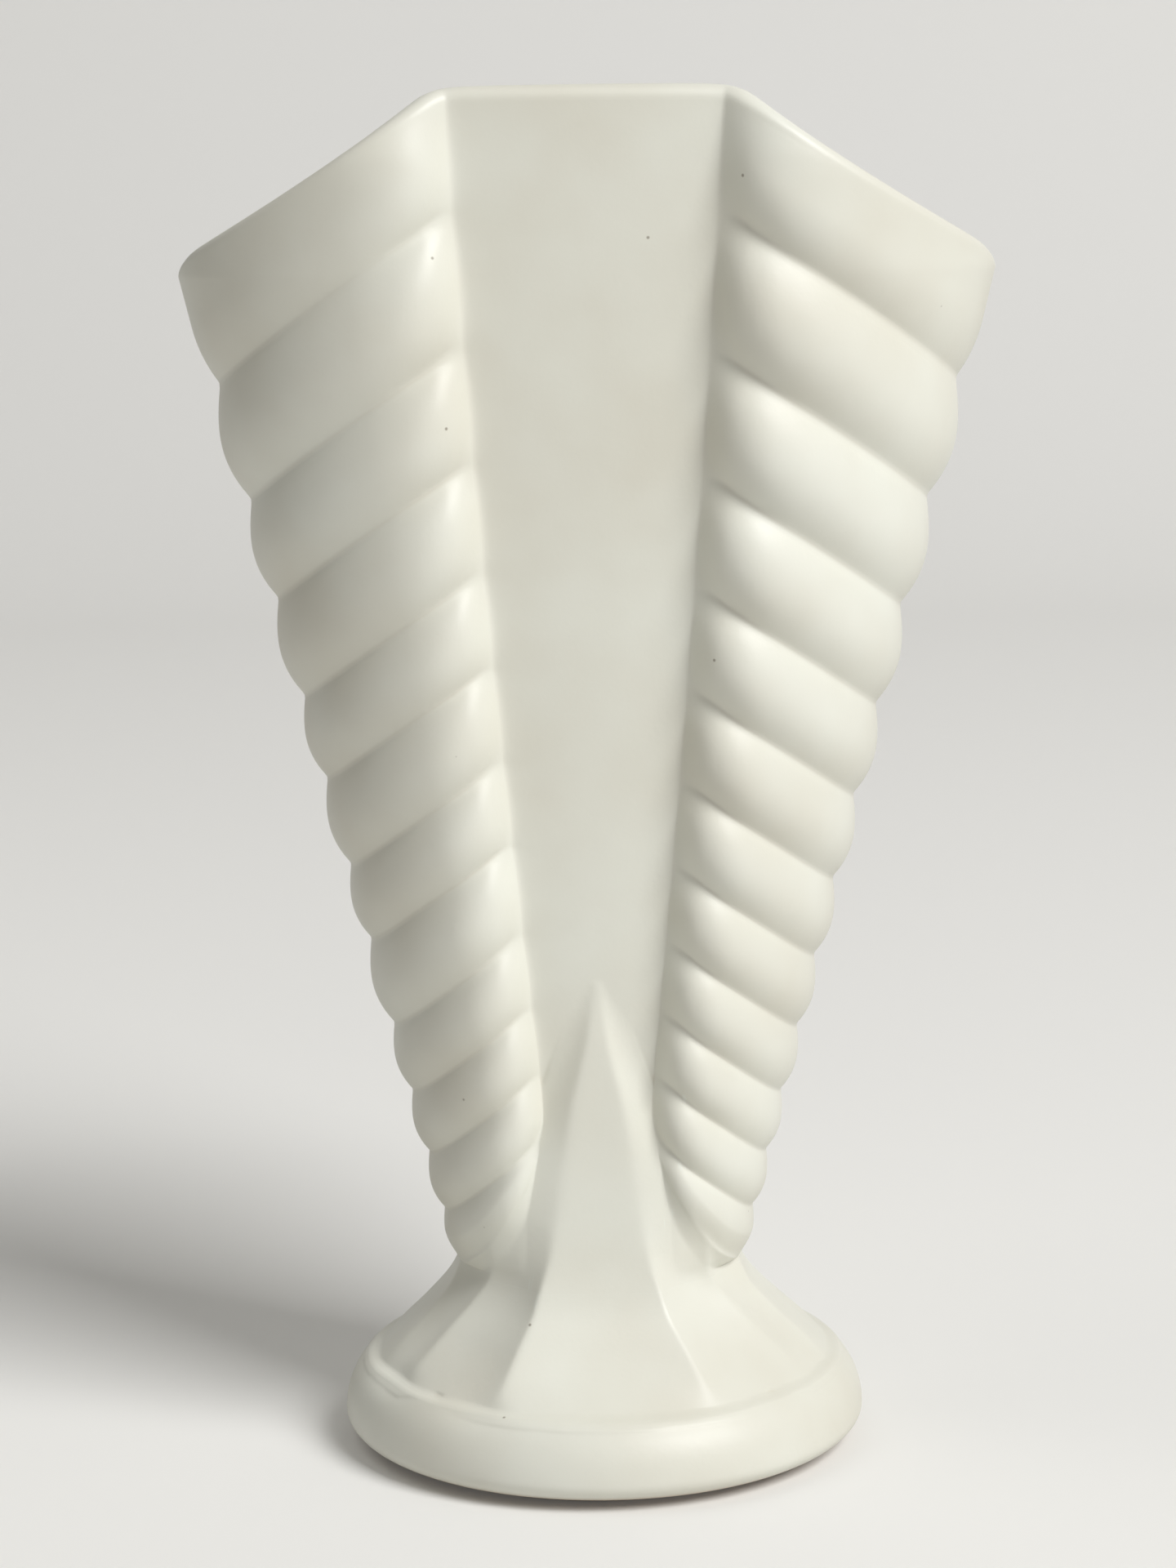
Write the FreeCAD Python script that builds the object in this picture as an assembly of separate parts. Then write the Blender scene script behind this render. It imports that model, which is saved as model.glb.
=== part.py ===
import FreeCAD, Part
import math
import os

os.makedirs("parts", exist_ok=True)

Vector = FreeCAD.Vector

# Whole vase, in millimetres: X across the fan, Y from front to back, Z up
vase_height = 250.0
waist_height = 34.3
slip_thickness = 0.8
wall = 5.0
overrun = 12.0
touch = 0.01

# Fan outline, seen from the front and measured in the grooves
waist_half_width = 26.7
tip_half_width = 71.8
rim_fall = 32.0
tip_height = vase_height - rim_fall
rim_level_half_width = 25.5
rim_corner_radius = 9.0
rim_edge_radius = 1.6

# Flutes on each wing, numbered down from the rim, with their pitch shrinking by a share each time
flute_count = 12
top_flute_reach = 19.9
top_groove_height = tip_height - top_flute_reach
groove_pitch_share = 0.925
flute_slope_share = 0.675
flute_slope_gain_share = 0.28
flute_slope_curve_share = 2.5
flute_swell_share = 0.107
first_swell_share = 0.87
flute_droop_share = 1.12
section_shares = (0.0, 0.3, 0.7, 1.0)
root_tries = 8

# Middle panel, the same in front and behind
panel_top_half_width = 24.0
panel_foot_half_width = 9.4
panel_foot_height = 65.0
panel_bow = 1.2
panel_top_depth = 33.0
panel_waist_depth = 17.7
wing_proud = 3.4
shoulder_share = 0.22
wing_root = 1.2
core_lap = 4.0

# Inside of the bowl
floor_thickness = 6.0
floor_squareness_share = 2.4
mouth_squareness_share = 3.3
floor_edge_radius = 4.0

# Faceted horn of the foot, with a spire lapping up each panel. Its three kinds of arris are
# each placed at the same heights, from inside the plinth to above the spire's tip
plinth_top_height = 15.5
horn_sink = 1.0
horn_steps = 22
spire_height = 91.0
horn_heights = (plinth_top_height - horn_sink, 20.0, 24.6, 29.7, waist_height, 40.4, 54.2, 68.2,
                80.5, spire_height)
front_arris_half_widths = (20.8, 18.0, 15.5, 12.6, 11.0, 9.1, 6.9, 4.7, 1.9, 0.4)
front_arris_depths = (39.0, 35.2, 31.6, 28.0, 26.1, 24.6, 23.4, 22.7, 22.0, 20.3)
middle_arris_half_widths = (38.3, 33.4, 28.9, 24.0, 20.6, 19.0, 15.6, 12.2, 7.9, 4.4)
middle_arris_depths = (22.2, 19.6, 17.9, 17.0, 16.9, 17.2, 18.3, 18.9, 19.2, 18.4)
side_arris_half_widths = (43.1, 38.0, 33.2, 28.6, 26.3, 22.6, 15.8, 11.0, 6.5, 3.0)
side_arris_depths = (10.0, 9.0, 8.2, 7.4, 6.8, 6.4, 6.0, 5.6, 5.2, 5.0)
facet_crown = 0.2
skirt_height = 8.0

# Plinth, its hollow underside and the bare ring that it stands on
plinth_radius = 49.0
plinth_widest_height = 5.4
plinth_under_radius = 42.0
hollow_radius = 36.5
hollow_shoulder_height = 9.0
hollow_top_radius = 20.0
hollow_top_height = 28.0
hollow_edge_radius = 4.0
ring_height = 1.2
ring_outer_radius = 41.4
ring_inner_radius = 37.0


def edge_half_width(height):
    """Half width of the fan's outline at a height, in the grooves."""
    rise = (height - waist_height) / (tip_height - waist_height)
    return waist_half_width + rise * (tip_half_width - waist_half_width)


def panel_half_width(height):
    """Half width of the flat middle panel, which narrows on its way down."""
    rise = (height - panel_foot_height) / (vase_height - panel_foot_height)
    rise = max(0.0, rise)
    bow = 4.0 * panel_bow * rise * (1.0 - rise)
    return panel_foot_half_width + rise * (panel_top_half_width - panel_foot_half_width) + bow


def panel_depth(height):
    """How far the panel's face stands in front of the middle plane."""
    rise = (height - waist_height) / (vase_height - waist_height)
    return panel_waist_depth + rise * (panel_top_depth - panel_waist_depth)


def groove_height(number):
    """Height at which a groove, or a place between two, reaches the fan's edge."""
    shrink = 1.0 - groove_pitch_share
    steps = flute_count - 1
    first_pitch = (top_groove_height - waist_height) * shrink / (1.0 - groove_pitch_share ** steps)
    return top_groove_height - first_pitch * (1.0 - groove_pitch_share ** (number - 1)) / shrink


def flute_slope(height):
    """Rise of a groove for each millimetre towards the middle, steeper near the foot."""
    drop = max(0.0, (tip_height - height) / (tip_height - waist_height))
    return flute_slope_share + flute_slope_gain_share * drop ** flute_slope_curve_share


def flute_swell(number):
    """How far a flute stands out from the wing's smooth face. The top one is full up to the rim."""
    upper = math.floor(number)
    pitch = groove_height(upper) - groove_height(upper + 1)
    droop = (number - upper) ** flute_droop_share
    if upper == 0:
        return first_swell_share * flute_swell_share * pitch * math.sin(math.pi * max(0.5, droop))
    return flute_swell_share * pitch * math.sin(math.pi * droop)


def wing_depth(half_width, height):
    """Depth of a wing's smooth face, before its flutes swell."""
    inner = panel_half_width(height)
    outer = edge_half_width(height)
    reach = min(1.0, max(0.0, (half_width - inner) / (outer - inner)))
    crest = (panel_depth(height) + wing_proud) * math.sqrt(1.0 - reach ** 2)
    fall = max(0.0, 1.0 - reach / shoulder_share)
    return crest - wing_proud * fall ** 2


def wing_section(number):
    """Closed outline of the wing in the sloping plane of a groove, or of a place between two."""
    tip_level = groove_height(number)
    tip = edge_half_width(tip_level)
    slope = flute_slope(tip_level)
    root = panel_half_width(tip_level)
    for _ in range(root_tries):
        root = panel_half_width(tip_level + slope * (tip - root))

    def level(half_width):
        return tip_level + slope * (tip - half_width)

    steps = 2 * flute_count
    points = []
    for step in range(steps + 1):
        turn = 0.5 * math.pi * step / steps
        half_width = root + (tip - root) * math.sin(turn)
        points.append((half_width, wing_depth(half_width, level(half_width))))

    # The last point lies on the middle plane, where the outline turns round the tip
    points[-1] = (tip, 0.0)
    swell = flute_swell(number)
    swollen = []
    for index, (half_width, depth) in enumerate(points):
        before = points[max(0, index - 1)]
        after = points[min(len(points) - 1, index + 1)]
        run = after[0] - before[0]
        fall = before[1] - after[1]
        if index == len(points) - 1:
            run = 0.0
            fall = depth + before[1]
        length = math.hypot(run, fall)
        swollen.append((half_width + swell * fall / length, depth + swell * run / length))

    inner = (root - wing_root, panel_depth(level(root)) - wing_root)
    front = [inner] + swollen
    outline = [Vector(x, -y, level(x)) for x, y in front]
    outline += [Vector(x, y, level(x)) for x, y in reversed(front[:-1])]
    curve = Part.BSplineCurve()
    curve.interpolate(outline)
    closing = Part.LineSegment(outline[-1], outline[0])
    return Part.Wire([curve.toShape(), closing.toShape()])


def wing():
    """The right wing, made solid and built up flute by flute."""
    flutes = []
    for number in range(flute_count):
        sections = [wing_section(number + share) for share in section_shares]
        flutes.append(Part.makeLoft(sections, True, False))
    return flutes[0].multiFuse(flutes[1:])


def profile_block(corners, half_length, across):
    """A closed outline seen from the front, or from the side, drawn out both ways."""
    if across:
        points = [Vector(-half_length, place, height) for place, height in corners]
        length = Vector(2.0 * half_length, 0, 0)
    else:
        points = [Vector(place, -half_length, height) for place, height in corners]
        length = Vector(0, 2.0 * half_length, 0)
    return Part.Face(Part.makePolygon(points + points[:1])).extrude(length)


def panel_core():
    """Block behind the two flat panels, with its edges buried in the wings."""
    top = vase_height + overrun
    foot_half = panel_foot_half_width + core_lap
    top_half = panel_top_half_width + core_lap
    right = [(foot_half, waist_height), (foot_half, panel_foot_height),
             (top_half, vase_height), (top_half, top)]
    front_view = right + [(-x, z) for x, z in reversed(right)]
    back = [(panel_depth(waist_height), waist_height), (panel_depth(top), top)]
    side_view = back + [(-y, z) for y, z in reversed(back)]
    core = profile_block(front_view, 2.0 * panel_top_depth, False)
    return core.common(profile_block(side_view, 2.0 * tip_half_width, True))


def above_rim():
    """Everything above the rim: level over the panels, falling away over the wings."""
    rim_tip = tip_half_width + flute_swell(0)
    fall = (vase_height - tip_height) / (rim_tip - rim_level_half_width)
    far = tip_half_width + 2.0 * overrun
    far_height = vase_height - fall * (far - rim_level_half_width)
    top = vase_height + 2.0 * overrun
    depth = panel_top_depth + 2.0 * overrun
    block = profile_block([(-far, top), (-far, far_height), (-rim_level_half_width, vase_height),
                           (rim_level_half_width, vase_height), (far, far_height), (far, top)],
                          depth, False)
    bends = [edge for edge in block.Edges
             if edge.BoundBox.YLength > depth and abs(edge.CenterOfMass.x) < tip_half_width]
    return block.makeFillet(rim_corner_radius, bends)


def cavity():
    """The hollow that holds the flowers, smooth inside the flutes."""
    def outline(height, squareness_share):
        half_width = edge_half_width(height) - wall
        depth = panel_depth(height) - wall
        power = 2.0 / squareness_share
        steps = 4 * flute_count
        points = []
        for step in range(steps):
            turn = 2.0 * math.pi * step / steps
            across = math.cos(turn)
            along = math.sin(turn)
            points.append(Vector(half_width * math.copysign(abs(across) ** power, across),
                                 depth * math.copysign(abs(along) ** power, along), height))
        curve = Part.BSplineCurve()
        curve.interpolate(points, PeriodicFlag=True)
        return Part.Wire([curve.toShape()])

    floor_height = waist_height + floor_thickness
    outlines = [outline(floor_height, floor_squareness_share),
                outline(vase_height + overrun, mouth_squareness_share)]
    hollow_space = Part.makeLoft(outlines, True, True)
    floor_edges = [edge for edge in hollow_space.Edges if edge.BoundBox.ZMax < floor_height + wall]
    return hollow_space.makeFillet(floor_edge_radius, floor_edges)


def rounded_lip(bowl, hollow_space):
    """The bowl with the inner edge of its rim rounded."""
    lip = []
    for edge in bowl.Edges:
        middle = edge.valueAt((edge.FirstParameter + edge.LastParameter) / 2.0)
        if edge.BoundBox.ZMin > tip_height - wall and hollow_space.isInside(middle, touch, True):
            lip.append(edge)
    return bowl.makeFillet(rim_edge_radius, lip)


def along(places, height):
    """Smooth path of an arris between the places given at the horn's heights."""
    last = len(horn_heights) - 1
    slopes = []
    for index in range(last + 1):
        low = max(0, index - 1)
        high = min(last, index + 1)
        slopes.append((places[high] - places[low]) / (horn_heights[high] - horn_heights[low]))
    index = 0
    while index < last - 1 and height > horn_heights[index + 1]:
        index += 1
    gap = horn_heights[index + 1] - horn_heights[index]
    share = (height - horn_heights[index]) / gap
    rest = 1.0 - share
    return (places[index] * rest ** 2 * (1.0 + 2.0 * share)
            + places[index + 1] * share ** 2 * (3.0 - 2.0 * share)
            + gap * share * rest * (slopes[index] * rest - slopes[index + 1] * share))


def horn_section(height):
    """Twelve-cornered outline of the horn, whose sides crown out to a full circle on the plinth."""
    quarter = [(along(front_arris_half_widths, height), along(front_arris_depths, height)),
               (along(middle_arris_half_widths, height), along(middle_arris_depths, height)),
               (along(side_arris_half_widths, height), along(side_arris_depths, height))]
    corners = [(x, -y) for x, y in quarter]
    corners += [(x, y) for x, y in reversed(quarter)]
    corners += [(-x, y) for x, y in quarter]
    corners += [(-x, -y) for x, y in reversed(quarter)]
    skirt_share = max(0.0, 1.0 - (height - horn_heights[0]) / skirt_height) ** 2
    edges = []
    for start, end in zip(corners, corners[1:] + corners[:1]):
        middle = Vector((start[0] + end[0]) / 2.0, (start[1] + end[1]) / 2.0, height)
        outward = Vector(end[1] - start[1], start[0] - end[0], 0)
        outward.normalize()
        full_circle = math.hypot(start[0], start[1]) - math.hypot(middle.x, middle.y)
        crown = facet_crown + skirt_share * max(0.0, full_circle - facet_crown)
        curve = Part.BezierCurve()
        curve.setPoles([Vector(start[0], start[1], height), middle + outward * (2.0 * crown),
                        Vector(end[0], end[1], height)])
        edges.append(curve.toShape())
    return Part.Wire(edges)


def horn():
    """The faceted body of the foot and the two spires that it sends up the panels."""
    step = (spire_height - horn_heights[0]) / horn_steps
    sections = [horn_section(horn_heights[0] + step * number) for number in range(horn_steps + 1)]
    return Part.makeLoft(sections, True, False)


def slab(bottom, top):
    """A block wider than the vase between two heights."""
    half = vase_height
    return Part.makeBox(2.0 * half, 2.0 * half, top - bottom, Vector(-half, -half, bottom))


def plinth():
    """The round, full-edged disc under the horn."""
    crease_radius = math.hypot(front_arris_half_widths[0], front_arris_depths[0])
    crease = Vector(crease_radius, 0, plinth_top_height)
    widest = Vector(plinth_radius, 0, plinth_widest_height)
    rise = plinth_top_height - plinth_widest_height
    spread = plinth_radius - crease_radius
    bend_radius = (rise ** 2 + spread ** 2) / (2.0 * spread)
    half_turn = math.asin(rise / bend_radius) / 2.0
    shoulder = Vector(plinth_radius - bend_radius * (1.0 - math.cos(half_turn)), 0,
                      plinth_widest_height + bend_radius * math.sin(half_turn))
    under = Vector(plinth_under_radius, 0, ring_height)
    drop = plinth_widest_height - ring_height
    tuck = plinth_radius - plinth_under_radius
    belly = Vector(plinth_under_radius + tuck * math.sin(math.pi / 4.0), 0,
                   plinth_widest_height - drop * math.sin(math.pi / 4.0))
    edges = [Part.LineSegment(Vector(0, 0, ring_height), under).toShape(),
             Part.Arc(under, belly, widest).toShape(),
             Part.Arc(widest, shoulder, crease).toShape(),
             Part.LineSegment(crease, Vector(0, 0, plinth_top_height)).toShape(),
             Part.LineSegment(Vector(0, 0, plinth_top_height), Vector(0, 0, ring_height)).toShape()]
    face = Part.Face(Part.Wire(edges))
    return face.revolve(Vector(0, 0, 0), Vector(0, 0, 1), 360)


def hollow():
    """The hollow under the foot, open below."""
    corners = [(0.0, -overrun), (hollow_radius, -overrun), (hollow_radius, hollow_shoulder_height),
               (hollow_top_radius, hollow_top_height), (0.0, hollow_top_height)]
    points = [Vector(x, 0, z) for x, z in corners]
    face = Part.Face(Part.makePolygon(points + points[:1]))
    turned = face.revolve(Vector(0, 0, 0), Vector(0, 0, 1), 360)
    bends = [edge for edge in turned.Edges
             if isinstance(edge.Curve, Part.Circle) and edge.CenterOfMass.z > 0]
    return turned.makeFillet(hollow_edge_radius, bends)


def foot_ring():
    """The bare clay ring that the vase stands on."""
    outer = Part.makeCylinder(ring_outer_radius, ring_height)
    return outer.cut(Part.makeCylinder(ring_inner_radius, ring_height))


def write(shape, name):
    """One STEP file for each piece."""
    solids = shape.Solids
    piece = solids[0] if len(solids) == 1 else Part.makeCompound(solids)
    box = piece.BoundBox
    print(name, len(solids), "solid", piece.isValid(), round(piece.Volume / 1000.0, 2), "cm3",
          [round(value, 2) for value in (box.XMin, box.XMax, box.YMin, box.YMax, box.ZMin, box.ZMax)])
    piece.exportStep("parts/" + name + ".step")


right_wing = wing()
left_wing = right_wing.mirror(Vector(0, 0, 0), Vector(1, 0, 0))
spired_horn = horn()
fan = panel_core().multiFuse([right_wing, left_wing, spired_horn])
fan = fan.common(slab(waist_height, vase_height + overrun))
inside = cavity()
fan = rounded_lip(fan.cut(inside).cut(above_rim()), inside)

slip_bottom = waist_height - slip_thickness
foot = plinth().fuse(spired_horn.common(slab(0.0, slip_bottom)))
foot = foot.cut(hollow())
slip = spired_horn.common(slab(slip_bottom, waist_height))

write(fan, "fan_bowl")
write(slip, "luting_slip")
write(foot, "pedestal_foot")
write(foot_ring(), "foot_ring")
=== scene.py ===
import math

import bpy
import numpy as np
from mathutils import Matrix, Vector


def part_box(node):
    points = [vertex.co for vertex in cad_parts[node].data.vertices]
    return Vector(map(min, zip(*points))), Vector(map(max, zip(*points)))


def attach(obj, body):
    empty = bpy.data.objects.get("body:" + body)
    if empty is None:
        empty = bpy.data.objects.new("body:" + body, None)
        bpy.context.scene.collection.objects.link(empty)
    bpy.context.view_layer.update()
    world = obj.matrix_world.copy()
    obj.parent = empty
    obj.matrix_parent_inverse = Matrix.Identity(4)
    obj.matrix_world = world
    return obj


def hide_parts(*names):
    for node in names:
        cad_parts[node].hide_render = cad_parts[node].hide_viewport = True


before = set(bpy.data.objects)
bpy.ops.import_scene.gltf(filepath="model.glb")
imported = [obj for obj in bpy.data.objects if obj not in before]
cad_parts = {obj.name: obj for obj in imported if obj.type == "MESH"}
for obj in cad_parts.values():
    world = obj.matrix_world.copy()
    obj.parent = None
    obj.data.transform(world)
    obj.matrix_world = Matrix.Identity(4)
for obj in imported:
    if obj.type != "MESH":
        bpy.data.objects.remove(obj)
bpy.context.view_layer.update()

# Pedestal foot: the horn and plinth under the bowl, slip-cast in white clay and hollow underneath.
# Its horn has twelve flat facets that flare out into the round plinth, and its front and back spires
# lap up the bowl. It is dipped with the bowl in one matt white glaze. All lengths are millimetres.
MM_PER_METRE = 1000.0
foot_box = [corner * MM_PER_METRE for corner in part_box("pedestal_foot")]
slip_box = [corner * MM_PER_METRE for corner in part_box("luting_slip")]
ring_box = [corner * MM_PER_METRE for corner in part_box("foot_ring")]
waist_height = slip_box[1].z
joint_height = (slip_box[0].z + slip_box[1].z) / 2.0
glaze_skin = 0.35
foot_offset = 0.3
bowl_offset = -0.3

plinth_radius = foot_box[1].y
plinth_widest_height = 5.4
plinth_under_radius = 42.0
plinth_top_height = 15.5
shoulder_fall = 7.0
crease_softness = 3.0
arris_foot_fall = 1.8

# Shallow dimples at the plinth's left front: turn and spread in degrees, then depth
toe_dimples = [(33.0, 8.0, 0.55), (64.0, 9.0, 0.8)]
toe_dimple_height = 2.0

ring_height = ring_box[1].z
hollow_radius = 36.5
hollow_shoulder_height = 9.0
hollow_top_radius = 20.0
hollow_top_height = 28.0
hollow_centre_radius = 2.0
hollow_edge_radius = 4.0
hollow_edge_steps = 9

# Heights of places on the arrises, then each arris's half widths and depths there, going up
arris_heights = np.array([14.5, 20.0, 24.6, 29.7, 34.3, 40.4, 54.2, 68.2, 80.5, 91.0])
front_arris = np.array([[20.8, 18.0, 15.5, 12.6, 11.0, 9.1, 6.9, 4.7, 1.9, 0.4],
                        [39.0, 35.2, 31.6, 28.0, 26.1, 24.9, 24.3, 24.0, 23.4, 21.6]])
middle_arris = np.array([[38.3, 33.4, 28.9, 24.0, 20.6, 19.6, 16.4, 12.2, 7.9, 4.4],
                         [22.2, 19.6, 17.9, 17.0, 17.3, 19.4, 21.2, 19.6, 19.2, 18.4]])
side_arris = np.array([[43.1, 38.0, 33.2, 28.6, 26.3, 24.3, 17.8, 11.0, 6.5, 3.0],
                       [10.0, 9.0, 8.2, 7.4, 6.8, 9.6, 9.0, 5.6, 5.2, 5.0]])
arris_sharpness = 110.0

# Rise of each facet's middle, from the front facet to the side one: most are slightly hollow
facet_crowns = (0.05, -0.9, -0.6, 0.1)
facet_overrun = 3.0
facet_fade_height = 12.0
skirt_height = 9.0
skirt_fill = 0.95
least_facing = 1e-6
least_reach = 1.0

# Rows of points down the foot, close together over the crease, and columns on each facet
facet_columns = 34
column_crowding = 0.55
crease_rows_top = 20.0
crease_rows_end = 12.0
horn_row_count = 30
crease_row_count = 34
shoulder_row_count = 14
tuck_row_count = 15
seam_support = 0.05


def along(places, height):
    """Smooth path of an arris through its places, at any height."""
    last = len(arris_heights) - 1
    low = np.maximum(np.arange(last + 1) - 1, 0)
    high = np.minimum(np.arange(last + 1) + 1, last)
    slopes = (places[high] - places[low]) / (arris_heights[high] - arris_heights[low])
    at = np.clip(np.searchsorted(arris_heights, height) - 1, 0, last - 1)
    gap = arris_heights[at + 1] - arris_heights[at]
    share = np.clip((height - arris_heights[at]) / gap, 0.0, 1.0)
    rest = 1.0 - share
    return (places[at] * rest ** 2 * (1.0 + 2.0 * share)
            + places[at + 1] * share ** 2 * (3.0 - 2.0 * share)
            + gap * share * rest * (slopes[at] * rest - slopes[at + 1] * share))


def horn_radius(turn, height):
    """Distance from the axis to the horn's faceted side, for a turn from the front."""
    across = np.abs(np.sin(turn))
    ahead = np.abs(np.cos(turn))
    front, middle, side = [np.array([along(way, height) for way in arris])
                           for arris in (front_arris, middle_arris, side_arris)]
    facets = [(np.stack([-front[0], front[1]]), front), (front, middle), (middle, side),
              (side, np.stack([side[0], -side[1]]))]
    skirt = skirt_fill * np.clip(1.0 - (height - arris_heights[0]) / skirt_height, 0.0, 1.0) ** 2
    hollowed = 1.0 - np.clip((height - waist_height) / facet_fade_height, 0.0, 1.0)
    total = 0.0
    for (start, end), facet_crown in zip(facets, facet_crowns):
        run = end - start
        length = np.hypot(run[0], run[1])
        out = np.array([-run[1], run[0]]) / length
        centre = (start + end) / 2.0
        reach = out[0] * start[0] + out[1] * start[1]
        facing = np.maximum(out[0] * across + out[1] * ahead, least_facing)
        hit = reach / facing
        offset = np.hypot(hit * across - centre[0], hit * ahead - centre[1]) / (length / 2.0)
        sagitta = np.hypot(start[0], start[1]) - np.hypot(centre[0], centre[1])
        crown = facet_crown * hollowed
        crown = crown + skirt * np.maximum(0.0, sagitta - crown)
        bulged = reach + crown * np.maximum(1.0 - offset ** 2, -facet_overrun)
        total = total + (facing / np.maximum(bulged, least_reach)) ** arris_sharpness
    return total ** (-1.0 / arris_sharpness)


def soft_max(first, second, softness):
    """The larger of two surfaces, filleted where they cross."""
    near = np.clip(1.0 - np.abs(first - second) / softness, 0.0, 1.0)
    return np.maximum(first, second) + softness * near ** 2 / 4.0


def foot_radius(turn, height):
    """Distance from the axis to the foot's outside, from the waist to the plinth's widest place."""
    crease_radius = math.hypot(front_arris[0][0], front_arris[1][0])
    rise = plinth_top_height - plinth_widest_height
    spread = plinth_radius - crease_radius
    bend = (rise ** 2 + spread ** 2) / (2.0 * spread)
    above = np.clip(height - plinth_widest_height, 0.0, rise)
    shoulder = plinth_radius - bend + np.sqrt(bend ** 2 - above ** 2)
    shoulder = shoulder - shoulder_fall * np.maximum(0.0, height - plinth_top_height)
    horn = horn_radius(turn, np.maximum(height, arris_heights[0]))
    horn = horn - arris_foot_fall * np.maximum(0.0, arris_heights[0] - height)
    radius = soft_max(horn, shoulder, crease_softness)
    round_to_left = (360.0 - np.degrees(turn)) % 360.0
    level = np.exp(-((height - plinth_top_height) / toe_dimple_height) ** 2)
    for place, width, depth in toe_dimples:
        radius = radius - depth * np.exp(-((round_to_left - place) / width) ** 2) * level
    return np.minimum(radius, plinth_radius)


def off_centre(rings):
    """Rings set a little to the side, since the foot is not quite in line with the bowl."""
    up = np.clip((rings[..., 2] - plinth_top_height) / (waist_height - plinth_top_height), 0.0, 1.0)
    up = up ** 2 * (3.0 - 2.0 * up)
    moved = rings.copy()
    moved[..., 0] = rings[..., 0] + foot_offset + (bowl_offset - foot_offset) * up
    return moved


def rounded_profile(corners, radius, steps):
    """A profile through corners, as radius and height, with each inner corner rounded."""
    points = [corners[0]]
    for before, corner, after in zip(corners, corners[1:], corners[2:]):
        before, corner, after = np.array(before), np.array(corner), np.array(after)
        back = (before - corner) / np.hypot(*(before - corner))
        on = (after - corner) / np.hypot(*(after - corner))
        half = math.acos(float(np.clip(back @ on, -1.0, 1.0))) / 2.0
        trim = radius / math.tan(half)
        start = corner + back * trim
        end = corner + on * trim
        for share in np.linspace(0.0, 1.0, steps):
            points.append(tuple(start * (1.0 - share) ** 2 + corner * 2.0 * share * (1.0 - share)
                                + end * share ** 2))
    points.append(corners[-1])
    return points


def in_scene(name, data):
    """A new object for a mesh, a lamp or a camera, put in the scene."""
    made = bpy.data.objects.new(name, data)
    bpy.context.scene.collection.objects.link(made)
    return made


def quad_band(upper, lower, columns):
    """The faces between two rings, each given by the number of its first point."""
    here = np.arange(columns)
    beside = np.roll(here, -1)
    return np.stack([upper + here, lower + here, lower + beside, upper + beside], axis=1)


def end_fan(centre, ring, step, columns):
    """The triangles that shut a ring with one middle point. The step gives the side they face."""
    here = ring + np.arange(columns)
    beside = ring + np.roll(np.arange(columns), -1)
    start, end = (here, beside) if step > 0 else (beside, here)
    return np.stack([np.full(columns, centre), start, end], axis=1)


def closed_piece(name, rings, first_centre, last_centre, sharp_rings=()):
    """One closed mesh from rings of points, shut at both ends by a fan of triangles."""
    rows, columns = rings.shape[:2]
    points = np.concatenate([rings.reshape(-1, 3), [first_centre, last_centre]]) / MM_PER_METRE
    quads = np.concatenate([quad_band(row * columns, (row + 1) * columns, columns)
                            for row in range(rows - 1)])
    fans = np.concatenate([end_fan(rows * columns, 0, 1, columns),
                           end_fan(rows * columns + 1, (rows - 1) * columns, -1, columns)])
    mesh = bpy.data.meshes.new(name)
    mesh.vertices.add(len(points))
    mesh.vertices.foreach_set("co", points.astype(np.float32).ravel())
    corners = np.concatenate([quads.ravel(), fans.ravel()])
    sizes = np.concatenate([np.full(len(quads), 4), np.full(len(fans), 3)])
    mesh.loops.add(len(corners))
    mesh.loops.foreach_set("vertex_index", corners.astype(np.int32))
    mesh.polygons.add(len(sizes))
    mesh.polygons.foreach_set("loop_start", (np.cumsum(sizes) - sizes).astype(np.int32))
    mesh.polygons.foreach_set("use_smooth", np.ones(len(sizes), dtype=bool))
    mesh.update(calc_edges=True)
    ends = np.empty(2 * len(mesh.edges), dtype=np.int32)
    mesh.edges.foreach_get("vertices", ends)
    edge_rings = ends.reshape(-1, 2) // columns
    along_ring = edge_rings[:, 0] == edge_rings[:, 1]
    sharp = np.isin(edge_rings[:, 0], [row % rows for row in sharp_rings]) & along_ring
    mesh.attributes.new("sharp_edge", "BOOLEAN", "EDGE").data.foreach_set("value", sharp)
    return in_scene(name, mesh)


def ring_of(turns, radius, height):
    """Points round the axis. A turn starts at the front and goes by the right-hand side."""
    radius = np.broadcast_to(radius, turns.shape)
    height = np.broadcast_to(height, turns.shape)
    return np.stack([radius * np.sin(turns), -radius * np.cos(turns), height], axis=-1)


def facet_turns(height):
    """Turns of the columns at one height, with whole columns along every arris."""
    quarter = [math.atan2(along(arris[0], height), along(arris[1], height))
               for arris in (front_arris, middle_arris, side_arris)]
    stops = quarter + [math.pi - turn for turn in reversed(quarter)]
    stops += [math.pi + turn for turn in quarter]
    stops += [2.0 * math.pi - turn for turn in reversed(quarter)]
    stops.append(stops[0] + 2.0 * math.pi)
    turns = []
    for start, end in zip(stops, stops[1:]):
        share = np.arange(facet_columns) / facet_columns
        share = share - np.sin(2.0 * math.pi * share) / (2.0 * math.pi) * column_crowding
        turns.append(start + (end - start) * share)
    return np.concatenate(turns)


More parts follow.
